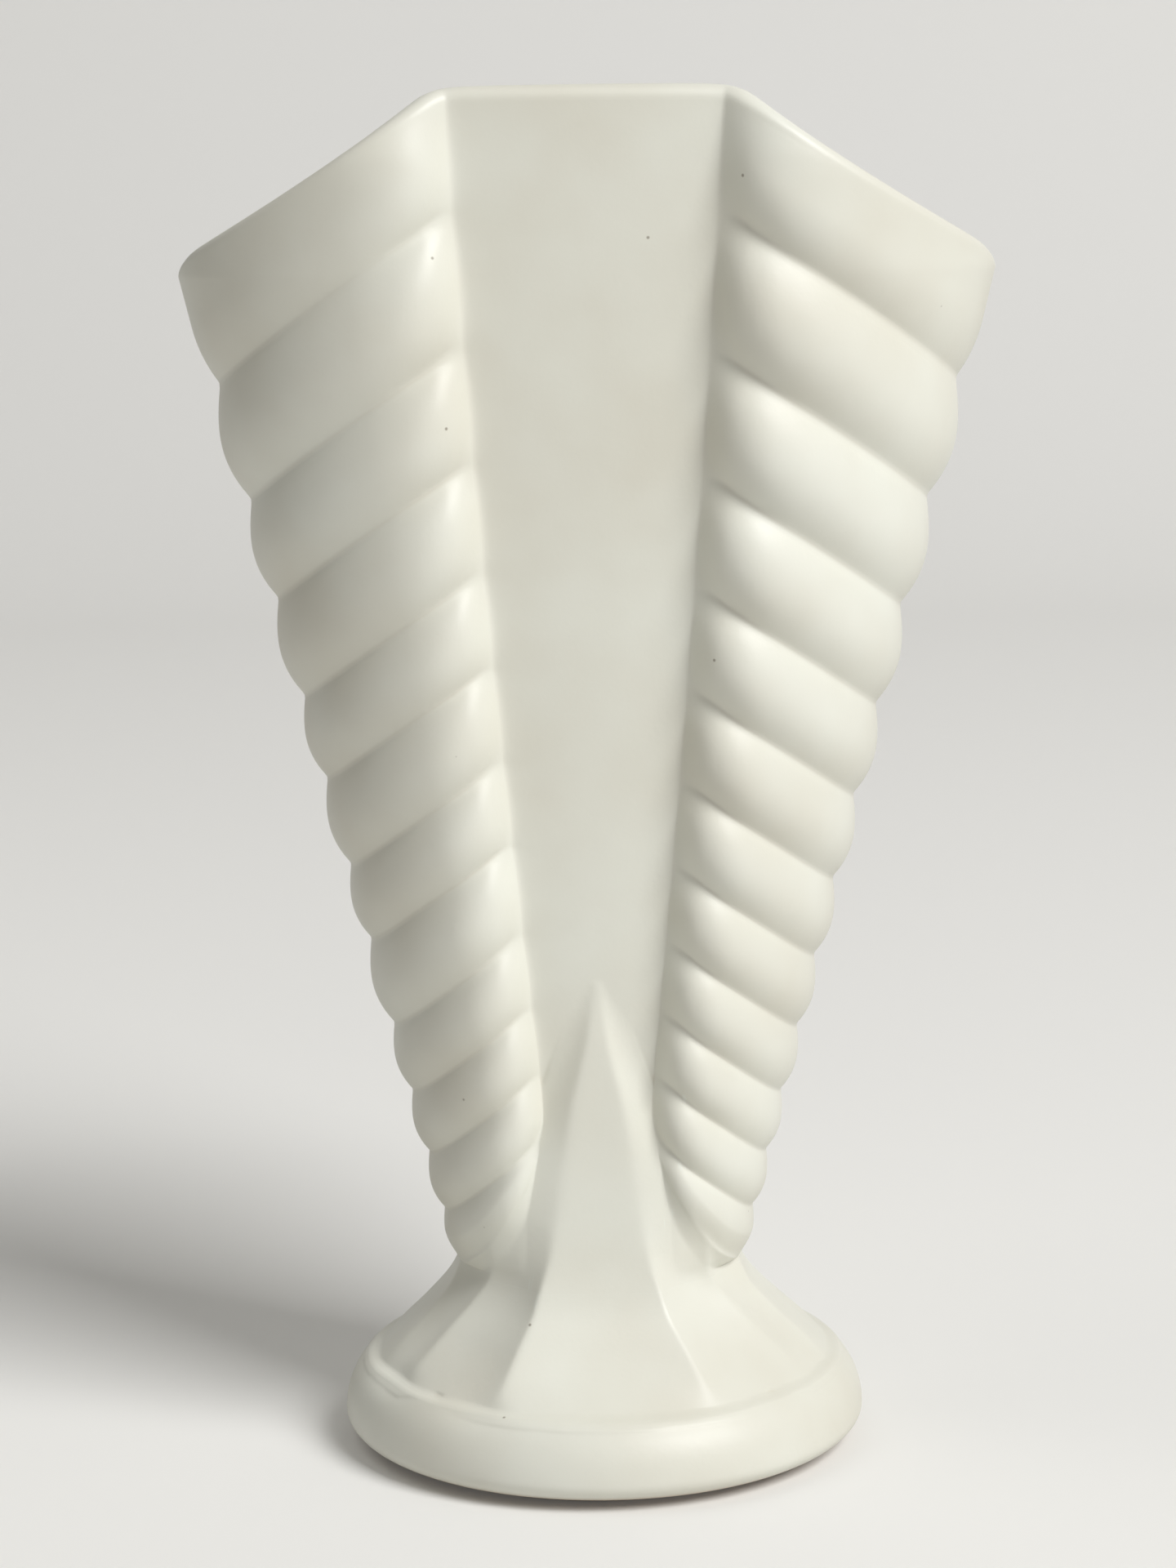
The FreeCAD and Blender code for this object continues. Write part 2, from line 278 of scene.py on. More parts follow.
joint_turns = facet_turns(joint_height)
joint_radius = foot_radius(joint_turns, np.full(joint_turns.shape, joint_height))
foot_rings = [ring_of(joint_turns, joint_radius - glaze_skin, slip_box[0].z),
              ring_of(joint_turns, joint_radius - glaze_skin, joint_height)]
horn_rows = [[joint_height],
             np.linspace(joint_height - seam_support, crease_rows_top, horn_row_count)[:-1],
             np.linspace(crease_rows_top, crease_rows_end, crease_row_count)[:-1],
             np.linspace(crease_rows_end, plinth_widest_height, shoulder_row_count)]
for height in np.concatenate(horn_rows):
    turns = facet_turns(max(height, arris_heights[0]))
    foot_rings.append(ring_of(turns, foot_radius(turns, np.full(turns.shape, height)), height))
tuck = plinth_radius - plinth_under_radius
tuck_height = plinth_widest_height - ring_height
for angle in np.linspace(0.0, math.pi / 2.0, tuck_row_count)[1:]:
    foot_rings.append(ring_of(turns, plinth_under_radius + tuck * math.cos(angle),
                              plinth_widest_height - tuck_height * math.sin(angle)))
hollow = rounded_profile([(hollow_radius, ring_height), (hollow_radius, hollow_shoulder_height),
                          (hollow_top_radius, hollow_top_height),
                          (hollow_centre_radius, hollow_top_height)],
                         hollow_edge_radius, hollow_edge_steps)
for radius, height in hollow:
    foot_rings.append(ring_of(turns, radius, height))
foot = closed_piece("glazed_pedestal_foot", off_centre(np.array(foot_rings)),
                    (0.0, 0.0, slip_box[0].z), (0.0, 0.0, hollow_top_height), sharp_rings=(1, 2))


def linear(hex_colour):
    """An sRGB hex colour as linear red, green, blue and alpha."""
    parts = [int(hex_colour[at:at + 2], 16) / 255.0 for at in (0, 2, 4)]
    return [part / 12.92 if part <= 0.04045 else ((part + 0.055) / 1.055) ** 2.4
            for part in parts] + [1.0]


def empty_material(name):
    """A new material whose nodes are still to be added."""
    material = bpy.data.materials.new(name)
    material.use_nodes = True
    material.node_tree.nodes.clear()
    return material


def add_node(tree, kind, settings=None, values=None, links=None):
    """Adds one node with its settings, its sockets' values and the links into it."""
    made = tree.nodes.new(kind)
    for name, value in (settings or {}).items():
        setattr(made, name, value)
    for name, value in (values or {}).items():
        made.inputs[name].default_value = value
    for name, source in (links or {}).items():
        tree.links.new(source, made.inputs[name])
    return made


def mix_colours(share, first, second):
    """Mixes two colours, each a hex value or an output of another node, by a share."""
    mixed = add_node(tree, "ShaderNodeMix", {"data_type": "RGBA"})
    tree.links.new(share, mixed.inputs[0])
    for socket, colour in ((mixed.inputs[6], first), (mixed.inputs[7], second)):
        if isinstance(colour, str):
            socket.default_value = linear(colour)
        else:
            tree.links.new(colour, socket)
    return mixed.outputs[2]


# Matt white tin glaze, dipped and fired to a satin matt: it breaks the light softly over a faintly
# rippled skin. It is warmer and darker in the grooves, partly pooled glaze and partly painted shade,
# paler where it runs thin over an edge, browner just above the bare ring, and holds a few iron specks.
glaze_ivory = "E5E5DA"
glaze_pool_and_shade = "C8BFAB"
glaze_thin = "E9ECE3"
glaze_iron = "6B5A45"
glaze_foot_brown = "B89F84"
glaze_ior = 1.5
glaze_smoothest = 0.37
glaze_roughest = 0.49
cloud_width = 38.0
cloud_start = 0.35
cloud_end = 0.7
cloud_tint = 0.35

# Blender's Pointiness is 0.5 on a flat place, lower in a groove and higher on an edge
# Painted shade in part: the grooves darken towards the pool colour, for pooled glaze and for shade
pool_and_shade_deepest = 0.41
pool_and_shade_edge = 0.488
pool_and_shade_tint = 0.8
thin_edge = 0.52
thin_sharpest = 0.6
thin_tint = 0.4
speck_spacing = 15.0
speck_radius = 0.17
speck_blur = 2.2
speck_tint = 0.65
# The glaze turns browner over the last few millimetres above the bare ring
foot_brown_height = 3.4
foot_brown_tint = 0.85
ripple_width = 1.3
ripple_height = 0.2
ripple_strength = 0.12

glaze = empty_material("matt_white_tin_glaze")
tree = glaze.node_tree
place = add_node(tree, "ShaderNodeTexCoord")
geometry = add_node(tree, "ShaderNodeNewGeometry")
clouds = add_node(tree, "ShaderNodeTexNoise",
                  values={"Scale": MM_PER_METRE / cloud_width, "Detail": 3.0},
                  links={"Vector": place.outputs["Object"]})
cloud_share = add_node(tree, "ShaderNodeMapRange",
                       values={"From Min": cloud_start, "From Max": cloud_end, "To Max": cloud_tint},
                       links={"Value": clouds.outputs["Fac"]})
colour = mix_colours(cloud_share.outputs[0], glaze_ivory, glaze_pool_and_shade)
# Darker, warmer grooves: partly pooled glaze and partly painted shade that falls in them
pooling_and_shade = add_node(tree, "ShaderNodeMapRange", {"interpolation_type": "SMOOTHSTEP"},
                   {"From Min": pool_and_shade_deepest, "From Max": pool_and_shade_edge, "To Min": pool_and_shade_tint, "To Max": 0.0},
                   {"Value": geometry.outputs["Pointiness"]})
colour = mix_colours(pooling_and_shade.outputs[0], colour, glaze_pool_and_shade)
thinning = add_node(tree, "ShaderNodeMapRange", {"interpolation_type": "SMOOTHSTEP"},
                    {"From Min": thin_edge, "From Max": thin_sharpest, "To Min": 0.0, "To Max": thin_tint},
                    {"Value": geometry.outputs["Pointiness"]})
colour = mix_colours(thinning.outputs[0], colour, glaze_thin)
specks = add_node(tree, "ShaderNodeTexVoronoi", values={"Scale": MM_PER_METRE / speck_spacing},
                  links={"Vector": place.outputs["Object"]})
speck_share = speck_radius / speck_spacing
speck_edge = add_node(tree, "ShaderNodeMapRange",
                      values={"From Min": speck_share, "From Max": speck_blur * speck_share,
                              "To Min": speck_tint, "To Max": 0.0},
                      links={"Value": specks.outputs["Distance"]})
colour = mix_colours(speck_edge.outputs[0], colour, glaze_iron)
height_of = add_node(tree, "ShaderNodeSeparateXYZ", links={"Vector": place.outputs["Object"]})
# Browner towards the bottom, down to the bare ring
foot_browning = add_node(tree, "ShaderNodeMapRange", {"interpolation_type": "SMOOTHSTEP"},
                 {"From Min": ring_height / MM_PER_METRE, "From Max": foot_brown_height / MM_PER_METRE,
                  "To Min": foot_brown_tint, "To Max": 0.0}, {"Value": height_of.outputs["Z"]})
colour = mix_colours(foot_browning.outputs[0], colour, glaze_foot_brown)
ripple = add_node(tree, "ShaderNodeTexNoise",
                  values={"Scale": MM_PER_METRE / ripple_width, "Detail": 2.0},
                  links={"Vector": place.outputs["Object"]})
relief = add_node(tree, "ShaderNodeBump",
                  values={"Strength": ripple_strength, "Distance": ripple_height / MM_PER_METRE},
                  links={"Height": ripple.outputs["Fac"]})
roughness = add_node(tree, "ShaderNodeMapRange",
                     values={"To Min": glaze_smoothest, "To Max": glaze_roughest},
                     links={"Value": clouds.outputs["Fac"]})
surface = add_node(tree, "ShaderNodeBsdfPrincipled", values={"IOR": glaze_ior},
                   links={"Base Color": colour, "Roughness": roughness.outputs[0],
                          "Normal": relief.outputs["Normal"]})
add_node(tree, "ShaderNodeOutputMaterial", links={"Surface": surface.outputs["BSDF"]})

foot.data.materials.append(glaze)
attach(foot, "root")
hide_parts("pedestal_foot")

# Foot ring: the edge of clay under the plinth that the vase stands on. The glaze is wiped off it
# before firing, so that the vase doesn't stick to the kiln shelf, and its corners are worn round.
ring_outer_radius = ring_box[1].x
ring_inner_radius = 37.0
ring_edge_radius = 0.45
ring_edge_steps = 6
ring_columns = 240
ring_seam = 0.2
ring_middle = (ring_outer_radius + ring_inner_radius) / 2.0
ring_profile = rounded_profile([(ring_middle, ring_height), (ring_outer_radius, ring_height),
                                (ring_outer_radius, 0.0), (ring_inner_radius, 0.0),
                                (ring_inner_radius, ring_height),
                                (ring_middle - ring_seam, ring_height)],
                               ring_edge_radius, ring_edge_steps)


def lathe(name, outline, columns):
    """A closed ring turned from a closed outline of radius and height."""
    turns = np.linspace(0.0, 2.0 * math.pi, columns + 1)[:-1]
    rings = np.array([ring_of(turns, radius, height) for radius, height in outline])
    rows = len(rings)
    faces = np.concatenate([quad_band(row * columns, (row + 1) % rows * columns, columns)
                            for row in range(rows)])
    mesh = bpy.data.meshes.new(name)
    mesh.from_pydata((rings.reshape(-1, 3) / MM_PER_METRE).tolist(), [], faces.tolist())
    mesh.polygons.foreach_set("use_smooth", [True] * len(mesh.polygons))
    return in_scene(name, mesh)


foot_ring = lathe("bare_clay_foot_ring", ring_profile, ring_columns)

# Bare toasted earthenware, cast and wiped: dry and gritty to the eye, with no shine and a warm brown
# from the kiln
clay_toasted = "8C6A50"
clay_pale = "B99A7C"
clay_grit = 0.8
clay_grit_height = 0.3
clay_grit_strength = 0.5
clay_ior = 1.5
clay_roughness = 0.85

clay = empty_material("bare_toasted_earthenware")
tree = clay.node_tree
place = add_node(tree, "ShaderNodeTexCoord")
grit = add_node(tree, "ShaderNodeTexNoise", values={"Scale": MM_PER_METRE / clay_grit, "Detail": 5.0},
                links={"Vector": place.outputs["Object"]})
colour = mix_colours(grit.outputs["Fac"], clay_toasted, clay_pale)
relief = add_node(tree, "ShaderNodeBump",
                  values={"Strength": clay_grit_strength, "Distance": clay_grit_height / MM_PER_METRE},
                  links={"Height": grit.outputs["Fac"]})
surface = add_node(tree, "ShaderNodeBsdfPrincipled",
                   values={"IOR": clay_ior, "Roughness": clay_roughness},
                   links={"Base Color": colour, "Normal": relief.outputs["Normal"]})
add_node(tree, "ShaderNodeOutputMaterial", links={"Surface": surface.outputs["BSDF"]})

foot_ring.data.materials.append(clay)
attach(foot_ring, "root")
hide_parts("foot_ring")

# Luting slip: the thin bed of liquid clay that joins the bowl to the foot at the waist. The faces are
# scored, wetted and pressed together, and the glaze is run over them, so none of it is seen outside.
slip_inset = 1.4 * glaze_skin
slip_rings = [ring_of(joint_turns, joint_radius - slip_inset, height)
              for height in (slip_box[1].z, joint_height, slip_box[0].z)]
slip = closed_piece("slip_joint", off_centre(np.array(slip_rings)),
                    (0.0, 0.0, slip_box[1].z), (0.0, 0.0, slip_box[0].z))

# Fired casting slip, left to dry as it was pressed: a plain, chalky cream with fine grit
slip_cream = "D8CFBC"
slip_roughness = 0.9

slip_material = empty_material("fired_casting_slip")
tree = slip_material.node_tree
place = add_node(tree, "ShaderNodeTexCoord")
grit = add_node(tree, "ShaderNodeTexNoise", values={"Scale": MM_PER_METRE / clay_grit, "Detail": 4.0},
                links={"Vector": place.outputs["Object"]})
colour = mix_colours(grit.outputs["Fac"], slip_cream, clay_pale)
surface = add_node(tree, "ShaderNodeBsdfPrincipled",
                   values={"IOR": clay_ior, "Roughness": slip_roughness},
                   links={"Base Color": colour})
add_node(tree, "ShaderNodeOutputMaterial", links={"Surface": surface.outputs["BSDF"]})

slip.data.materials.append(slip_material)
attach(slip, "root")
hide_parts("luting_slip")

# Fan bowl: a slip-cast shell of white clay, about 5 mm thick, from a mould of two halves. Each wing has
# slanting flutes that swell like fingers beside a plain tapering panel, and the foot's spire laps up
# the panel. Inside it is smooth. It wears the same matt white tin glaze as the foot.
bowl_box = [corner * MM_PER_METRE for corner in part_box("fan_bowl")]
vase_height = bowl_box[1].z
wall = 5.0
waist_half_width = 26.7
tip_half_width = 71.8
tip_fall = 32.0
tip_height = vase_height - tip_fall

# The rim: level over the panel, then down to the tips in a slight sag
rim_level_half_width = 24.6
rim_tip_half_width = 73.7
rim_tip_fall = 29.6
rim_sag = 0.17
rim_corner_softness = 2.0
tip_round_width = 4.0
tip_round_drop = 1.4
lip_radius = 2.4
lip_smoothing = 6
lip_steps = 13

# The panel: it narrows on its way down, between arrises that bow out a little
panel_top_half_width = 24.0
panel_foot_half_width = 9.4
panel_foot_height = 65.0
panel_bow = 1.2
panel_crown = 0.9
panel_top_depth = 33.0
panel_waist_depth = 17.7

# The grooves: closer on their way down, climbing towards the panel and steeper near the foot. The
# photo shows the left wing's grooves a little higher than the right wing's, from the top one down.
flute_count = 12
top_groove_drop = 19.9
top_groove_height = tip_height - top_groove_drop
groove_pitch_share = 0.925
flute_slope = 0.675
flute_slope_gain = 0.28
flute_slope_onset = 2.5
groove_bow = 1.0
groove_level_reach = 0.9
groove_softness = 0.1
groove_dip_share = 0.09
groove_dip_reach = 9.0
groove_dip_bow = 1.5
even_grooves = [0.0] * flute_count
left_groove_lifts = [0.5, 0.8, 2.5, 2.7, 4.3, 3.7, 4.1, 1.3, 0.8, 0.4, 0.0, 0.0]

# The flutes: full and round, hanging slightly, with round ends beside the panel
flute_swell_share = 0.118
front_swell_gain = 0.35
flute_roundness = 0.82
flute_droop = 1.1
rim_band_start = 0.15
rim_band_swell = 0.8
crest_phase = 0.5
wing_step = 2.6
wing_swelling = 3.4
wing_swelling_reach = 0.38
shoulder_width = 6.0
shoulder_rim_width = 14.0
shoulder_rim_onset = 4
finger_top_width = 11.0
finger_low_width = 13.0
shoulder_roundness = 2.2
shoulder_fillet = 1.1

# The joint with the foot: its flank laps over the lowest flutes and its spire over the panel
flank_rise = 0.832
flank_curve = 0.0415
flank_sink = 2.5
flank_fade = 6.0
flank_fade_bow = 0.5
joint_tuck = 3.0
joint_tuck_height = 1.6
spire_softness = 2.0
spire_fillet_height = 3.0
spire_fillet_least = 0.02
spire_top_fall = 3.0

# The hollow: a squared oval with a rounded floor, which meets the lip
floor_thickness = 6.0
floor_height = waist_height + floor_thickness
floor_squareness = 2.4
mouth_squareness = 3.3
floor_edge_radius = 4.0
floor_edge_share = 0.82
floor_centre_share = 0.12
mouth_blend_height = 26.0

# Rows and columns of points, crowded towards the wing's tip, and passes that settle the grooves
panel_columns = 40
wing_columns = 96
wing_crowding = 0.5
rows_per_flute = 26
top_rows = 34
foot_rows = 18
floor_rows = 9
floor_edge_rows = 8
inner_rows = 110
settling_passes = 14
rounding_guard = 1e-9


def edge_half_width(height):
    """Half width of the fan's outline at a height, in the grooves."""
    rise = (np.minimum(height, tip_height) - waist_height) / (tip_height - waist_height)
    return waist_half_width + rise * (tip_half_width - waist_half_width)


def panel_half_width(height):
    """Half width of the flat middle panel, which narrows on its way down."""
    rise = np.clip((height - panel_foot_height) / (vase_height - panel_foot_height), 0.0, None)
    bow = 4.0 * panel_bow * rise * (1.0 - rise)
    return panel_foot_half_width + rise * (panel_top_half_width - panel_foot_half_width) + bow


def panel_depth(height):
    """How far the panel's edge stands in front of the middle plane."""
    rise = (height - waist_height) / (vase_height - waist_height)
    return panel_waist_depth + rise * (panel_top_depth - panel_waist_depth)


def groove_height(number, lifts):
    """Height at which a groove, or a place between two, reaches the fan's edge."""
    shrink = 1.0 - groove_pitch_share
    all_pitches = 1.0 - groove_pitch_share ** (flute_count - 1)
    first_pitch = (top_groove_height - waist_height) * shrink / all_pitches
    fall = first_pitch * (1.0 - groove_pitch_share ** (number - 1.0)) / shrink
    return top_groove_height - fall + np.interp(number, np.arange(1, flute_count + 1), lifts)


def groove_line(number, half_width, lifts):
    """Height of a groove over a half width: it climbs towards the panel, steeper near the foot."""
    tip = groove_height(number, lifts)
    drop = np.clip((tip_height - tip) / (tip_height - waist_height), 0.0, None)
    slope = flute_slope + flute_slope_gain * drop ** flute_slope_onset
    return tip + slope * (edge_half_width(tip) - half_width)


def rim_line(half_width):
    """Height of the rim over a half width: level over the panel, with a slight sag over the wing."""
    past = half_width - rim_level_half_width
    eased = (past + np.sqrt(past ** 2 + rim_corner_softness ** 2)) / 2.0
    share = eased / (rim_tip_half_width - rim_level_half_width)
    return vase_height - rim_tip_fall * share * (1.0 + rim_sag * (1.0 - share))


# Columns of one quarter of the outside, from the middle of the panel to the wing's tip
panel_share = np.concatenate([np.arange(panel_columns) / panel_columns, np.ones(wing_columns + 1)])
spread = np.linspace(0.0, 1.0, wing_columns + 1)
spread = (1.0 - wing_crowding) * spread + wing_crowding * spread ** 2
wing_turn = np.concatenate([np.zeros(panel_columns), math.pi / 2.0 * spread])
wing_share = np.sin(wing_turn)

# Rows of it, from the rim to the joint: a band of 1.5 is half way from the first groove to the second
flute_bands = 1.0 + np.arange((flute_count - 1) * rows_per_flute) / rows_per_flute
band = np.concatenate([np.zeros(top_rows), flute_bands, np.full(foot_rows + 1, float(flute_count))])
to_rim = np.concatenate([1.0 - np.arange(top_rows) / top_rows, np.zeros(len(band) - top_rows)])
to_waist = np.concatenate([np.zeros(len(band) - foot_rows - 1), np.arange(foot_rows + 1) / foot_rows])
band, to_rim, to_waist = band[:, None], to_rim[:, None], to_waist[:, None]
upper = np.minimum(np.floor(band + rounding_guard), flute_count - 1.0)
phase = np.where(band < 1.0, rim_band_start + (1.0 - rim_band_start) * (1.0 - to_rim), band - upper)
phase = np.clip(phase, 0.0, 1.0) ** flute_droop
phase = np.where(band < 1.0, np.maximum(phase, crest_phase), phase)
wave = np.sqrt(np.sin(math.pi * phase) ** 2 + groove_softness ** 2) - groove_softness
wave = (wave / (math.sqrt(1.0 + groove_softness ** 2) - groove_softness)) ** flute_roundness
rim_widening = shoulder_rim_width * to_rim ** shoulder_rim_onset


def above_flank(half_width, height):
    """How far a place on the wing is above the line where the foot's flank laps over the flutes."""
    from_edge = np.clip(waist_half_width - np.abs(half_width), 0.0,
                        waist_half_width - panel_foot_half_width)
    return height - waist_height - flank_rise * from_edge - flank_curve * from_edge ** 2


def quarter_wing(lifts):
    """Half widths, depths, heights and swelling of one quarter, with its grooves lifted."""
    number = np.maximum(band, 1.0)
    height = groove_line(number, waist_half_width, even_grooves) + np.zeros(len(wing_share))
    for _ in range(settling_passes):
        inner = panel_half_width(height)
        outer = edge_half_width(height)
        half_width = panel_share * inner + (outer - inner) * wing_share
        over_wing = inner + np.hypot(np.maximum(half_width - inner, 0.0), groove_level_reach)
        groove = groove_line(number, over_wing, even_grooves) * (1.0 - panel_share)
        groove = groove + groove_line(number, over_wing, lifts) * panel_share
        groove = groove + 4.0 * groove_bow * wing_share * (1.0 - wing_share)
        near_tip = np.clip(1.0 - (outer - half_width) / tip_round_width, 0.0, 1.0)
        rim = rim_line(half_width) - lip_radius - tip_round_drop * near_tip ** 2
        height = groove * (1.0 - to_rim - to_waist) + rim * to_rim + joint_height * to_waist
    past_panel = half_width - panel_half_width(height)
    eased = (past_panel + np.sqrt(past_panel ** 2 + shoulder_fillet ** 2)) / 2.0
    shoulder = shoulder_width + rim_widening
    finger = 1.0 - np.clip(1.0 - eased / shoulder, 0.0, 1.0) ** shoulder_roundness
    below_crest = np.clip(1.0 - wing_share / wing_swelling_reach, 0.0, 1.0)
    depth = (panel_depth(height) + wing_step + wing_swelling) * np.cos(wing_turn)
    depth = depth - wing_step * (1.0 - finger) - wing_swelling * below_crest ** 2
    depth = depth + panel_crown * (1.0 - panel_share ** 2)
    pitch = groove_height(upper, lifts) - groove_height(upper + 1.0, lifts)
    swell = flute_swell_share * pitch * np.where(band < 1.0, rim_band_swell, 1.0) * wave
    swell = swell * (1.0 + front_swell_gain * np.cos(wing_turn) * (1.0 - to_rim))
    swell = np.where(band >= flute_count, 0.0, swell)
    dip = groove_dip_share * pitch * np.exp(-(past_panel / groove_dip_reach) ** 2) * (1.0 - to_waist)
    finger_width = finger_top_width + (finger_low_width - finger_top_width) * phase + rim_widening
    fingertip = 1.0 - np.clip(1.0 - eased / finger_width, 0.0, 1.0) ** shoulder_roundness
    filled = (swell + dip * (1.0 - (1.0 - wave) ** groove_dip_bow)) * fingertip - dip * finger
    clear_of_flank = np.clip(above_flank(half_width, height) / flank_fade, 0.0, 1.0)
    return half_width, -depth, height, filled * clear_of_flank ** flank_fade_bow


def whole_ring(right, left, mirror_x=1.0, mirror_y=1.0):
    """Two quarters' values carried round the vase, from the front middle by the right-hand side."""
    right = np.concatenate([right, mirror_y * right[:, -2::-1]], axis=1)
    left = np.concatenate([left, mirror_y * left[:, -2::-1]], axis=1)
    return np.concatenate([right, mirror_x * left[:, -2:0:-1]], axis=1)


def surface_normals(grid):
    """Outward unit normals of a grid of rings."""
    down = np.gradient(grid, axis=0)
    round_axis = np.roll(grid, -1, axis=1) - np.roll(grid, 1, axis=1)
    normal = np.cross(down, round_axis)
    return normal / np.linalg.norm(normal, axis=-1, keepdims=True)


# The smooth fan is laid out first, then the flutes swell out of it square to its surface
right_wing = quarter_wing(even_grooves)
left_wing = quarter_wing(left_groove_lifts)
outside = np.stack([whole_ring(right_wing[0], left_wing[0], mirror_x=-1.0),
                    whole_ring(right_wing[1], left_wing[1], mirror_y=-1.0),
                    whole_ring(right_wing[2], left_wing[2])], axis=-1)
level = outside[..., 2].copy()
outside = outside + surface_normals(outside) * whole_ring(right_wing[3], left_wing[3])[..., None]
outside[..., 2] = outside[..., 2] * (1.0 - to_rim) + level * to_rim

# The spire and the flank of the foot stand out through the lower part of the bowl
turns = np.arctan2(outside[..., 0], -outside[..., 1])
bowl_radius = np.hypot(outside[..., 0], outside[..., 1])
heights = outside[..., 2]
above_joint = np.clip((heights - joint_height) / joint_tuck_height, 0.0, 1.0)
bowl_radius = bowl_radius - joint_tuck * (1.0 - above_joint) ** 2
below_flank = -above_flank(outside[..., 0], heights)
bowl_radius = bowl_radius - flank_sink * np.clip(below_flank / (2.0 * flank_sink), 0.0, 1.0)
spire = horn_radius(turns, np.minimum(heights, arris_heights[-1]))
spire = spire - spire_top_fall * np.maximum(0.0, heights - arris_heights[-1])
fillet = np.clip((heights - joint_height) / spire_fillet_height, spire_fillet_least, 1.0)
joined = soft_max(bowl_radius, spire, spire_softness * fillet)
joined[-1] = horn_radius(turns[-1], np.full(turns[-1].shape, joint_height))
outside[..., 0] = joined * np.sin(turns)
outside[..., 1] = -joined * np.cos(turns)

# Lip: half a round from the inside to the outside, square to the rim in plan
rim_ring = outside[0]
along_rim = np.roll(rim_ring, -1, axis=0) - np.roll(rim_ring, 1, axis=0)
inward = np.stack([-along_rim[:, 1], along_rim[:, 0], np.zeros(len(along_rim))], axis=-1)
inward = sum(np.roll(inward, step, axis=0) for step in range(-lip_smoothing, lip_smoothing + 1))
inward = inward / np.linalg.norm(inward, axis=-1, keepdims=True)
lip = []
for angle in np.linspace(math.pi, 0.0, lip_steps)[1:-1]:
    lip.append(rim_ring + inward * (wall / 2.0) * (1.0 - math.cos(angle))
               + np.array([0.0, 0.0, 1.0]) * lip_radius * math.sin(angle))
inner_rim = rim_ring + inward * wall

# Inside: a squared oval at each height, run into the inner edge of the lip
ahead_share = np.abs(inner_rim[:, 1]) / (panel_depth(inner_rim[:, 2]) - wall)
across_share = np.abs(inner_rim[:, 0]) / (edge_half_width(inner_rim[:, 2]) - wall)
oval_turn = np.arctan2(ahead_share ** (mouth_squareness / 2.0), across_share ** (mouth_squareness / 2.0))


def squared(part, up):
    """A sine or cosine drawn out to the squareness of the floor, of the mouth or between them."""
    return (1.0 - up) * part ** (2.0 / floor_squareness) + up * part ** (2.0 / mouth_squareness)


def oval_ring(share_in, heights):
    """A ring on the hollow's squared oval at each column's own height, drawn in by a share."""
    up = np.clip((heights - floor_height) / (vase_height - floor_height), 0.0, 1.0)
    across = (edge_half_width(heights) - wall) * squared(np.cos(oval_turn), up)
    ahead = (panel_depth(heights) - wall) * squared(np.sin(oval_turn), up)
    return np.stack([np.sign(inner_rim[:, 0]) * across * share_in,
                     np.sign(inner_rim[:, 1]) * ahead * share_in, heights], axis=-1)


inside = []
for share in np.linspace(floor_centre_share, floor_edge_share, floor_rows):
    inside.append(oval_ring(share, np.full(len(inner_rim), floor_height)))
for angle in np.linspace(0.0, math.pi / 2.0, floor_edge_rows):
    level = floor_height + floor_edge_radius * (1.0 - math.cos(angle))
    share = floor_edge_share + (1.0 - floor_edge_share) * math.sin(angle)
    inside.append(oval_ring(share, np.full(len(inner_rim), level)))
for share in np.arange(1, inner_rows + 1) / inner_rows:
    heights = (floor_height + floor_edge_radius) * (1.0 - share) + inner_rim[:, 2] * share
    ring = oval_ring(1.0, heights)
    near_rim = np.clip(1.0 - (inner_rim[:, 2] - heights) / mouth_blend_height, 0.0, 1.0)[:, None]
    near_rim = near_rim ** 2 * (3.0 - 2.0 * near_rim)
    plan = ring[:, :2] * (1.0 - near_rim) + inner_rim[:, :2] * near_rim
    inside.append(np.concatenate([plan, heights[:, None]], axis=1))

# The bowl ends at the joint in a flat step, as deep as the glaze, that stays sharp under the skin
joint_ring = outside[-1]
to_support = seam_support / (outside[-2][:, 2:] - joint_height)
support_ring = joint_ring + (outside[-2] - joint_ring) * to_support
joint_inset = joint_ring * (1.0 - glaze_skin / np.hypot(joint_ring[:, 0], joint_ring[:, 1]))[:, None]
joint_inset[:, 2] = joint_height
joint_face = joint_inset.copy()
joint_face[:, 2] = waist_height
bowl_rings = np.concatenate([np.array(inside), np.array(lip), outside[:-1],
                             [support_ring, joint_ring, joint_inset, joint_face]])
bowl = closed_piece("glazed_fan_bowl", off_centre(bowl_rings),
                    (0.0, 0.0, floor_height), (0.0, 0.0, waist_height), sharp_rings=(-3, -2, -1))
bowl.data.materials.append(glaze)
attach(bowl, "root")
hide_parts("fan_bowl")

# Floor and backdrop: one plain sweep of pale, matt paper that lies flat under the vase and bends up
# behind it. It keeps the vase's soft shadow. The camera alone sees it a shade paler, so that it
# throws no more light on the vase.
sweep_width = 6000.0
sweep_front = -3000.0
sweep_depth = 1400.0
sweep_bend = 600.0
sweep_bend_steps = 17
sweep_height = 3000.0
paper_pale = "E8E7E4"
paper_lift = "454544"

profile = [(sweep_front, 0.0)]
for angle in np.linspace(0.0, math.pi / 2.0, sweep_bend_steps):
    profile.append((sweep_depth + sweep_bend * math.sin(angle), sweep_bend * (1.0 - math.cos(angle))))
profile.append((sweep_depth + sweep_bend, sweep_height))
points = [(side * sweep_width / MM_PER_METRE, y / MM_PER_METRE, z / MM_PER_METRE)
          for y, z in profile for side in (-0.5, 0.5)]
faces = [(2 * row, 2 * row + 1, 2 * row + 3, 2 * row + 2) for row in range(len(profile) - 1)]
mesh = bpy.data.meshes.new("paper_sweep")
mesh.from_pydata(points, [], faces)
mesh.polygons.foreach_set("use_smooth", [True] * len(faces))
sweep = in_scene("paper_sweep", mesh)

